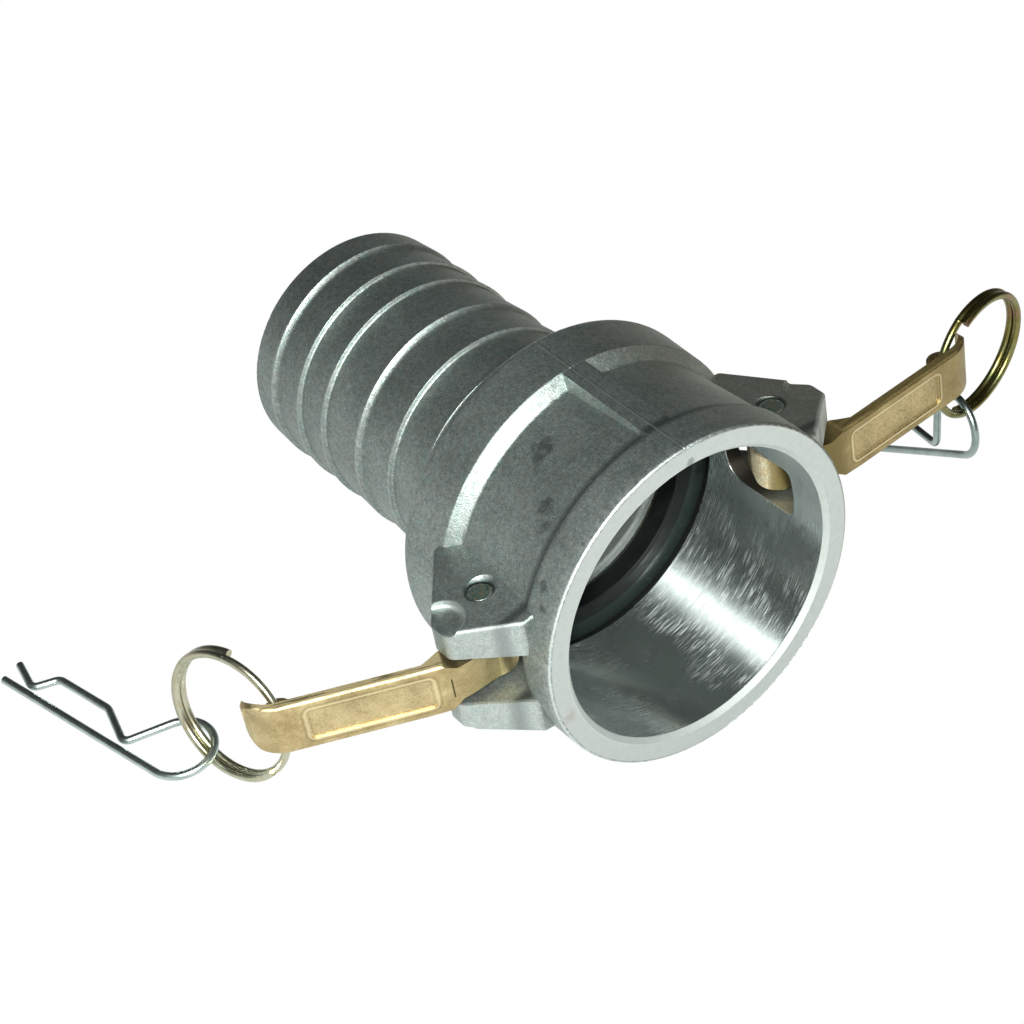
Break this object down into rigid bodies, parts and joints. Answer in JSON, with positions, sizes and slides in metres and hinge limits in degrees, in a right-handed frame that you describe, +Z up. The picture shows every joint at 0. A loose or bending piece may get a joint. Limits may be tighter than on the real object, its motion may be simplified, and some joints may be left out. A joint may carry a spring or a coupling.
{
  "type": "cam and groove hose coupling",
  "caption": "Cast aluminium cam and groove coupler with brass cam levers, a rubber gasket in the socket, split rings with wire safety clips and a ribbed hose shank.",
  "frame": {"origin": "centre of the socket's mouth face, on the socket's axis", "axes": "+X along the socket's axis out of its mouth, +Z up, with the coupling lying on a surface on its collar and its left ring; the lever pins lean 13 degrees from +Z towards -Y"},
  "size_m": [0.1428, 0.248, 0.0916],
  "materials": {
    "casting": "rough cast, machined bright in the bore and on the rim",
    "gasket": "matt black rubber",
    "pin_steel": "turned steel, lightly oiled",
    "lever_brass": "cast and tumbled",
    "ring_wire": "yellow zinc plated wire",
    "clip_wire": "bright zinc plated wire"
  },
  "bodies": {
    "body": {"body": "casting", "gasket": "gasket", "pin_left": "pin_steel", "pin_right": "pin_steel"},
    "lever_left": {"lever_left": "lever_brass"},
    "lever_right": {"lever_right": "lever_brass"},
    "ring_left": {"ring_left": "ring_wire"},
    "ring_right": {"ring_right": "ring_wire"},
    "clip_left": {"clip_left": "clip_wire"},
    "clip_right": {"clip_right": "clip_wire"}
  },
  "joints": [
    {"name": "lever_left_cam", "type": "hinge", "parent": "body", "child": "lever_left", "pos_m": [-0.0238, -0.04292, -0.00991], "axis": [0, -0.225, 0.9744], "range_deg": [-64.2, 30]},
    {"name": "lever_right_cam", "type": "hinge", "parent": "body", "child": "lever_right", "pos_m": [-0.0238, 0.04292, 0.00991], "axis": [0, 0.225, -0.9744], "range_deg": [-88, 8]},
    {"name": "ring_left_swing", "type": "hinge", "parent": "lever_left", "child": "ring_left", "pos_m": [-0.04069, -0.08994, -0.02077], "axis": [0, -0.225, 0.9744], "range_deg": [-16, 33]},
    {"name": "ring_right_swing", "type": "hinge", "parent": "lever_right", "child": "ring_right", "pos_m": [-0.01978, 0.09259, 0.02138], "axis": [0, -0.225, 0.9744], "range_deg": [-2, 80]},
    {"name": "clip_left_swing", "type": "hinge", "parent": "ring_left", "child": "clip_left", "pos_m": [-0.06522, -0.09717, -0.04], "axis": [-0.7296, -0.2203, 0.6474], "range_deg": [-15, 45]},
    {"name": "clip_right_swing", "type": "hinge", "parent": "ring_right", "child": "clip_right", "pos_m": [-0.023, 0.10545, 0.00247], "axis": [-0.1921, 0.9651, -0.1782], "range_deg": [-50, 8]}
  ],
  "couplings": [
    {"joint": "ring_left_swing", "follows": "lever_left_cam", "ratio": -0.5}
  ]
}
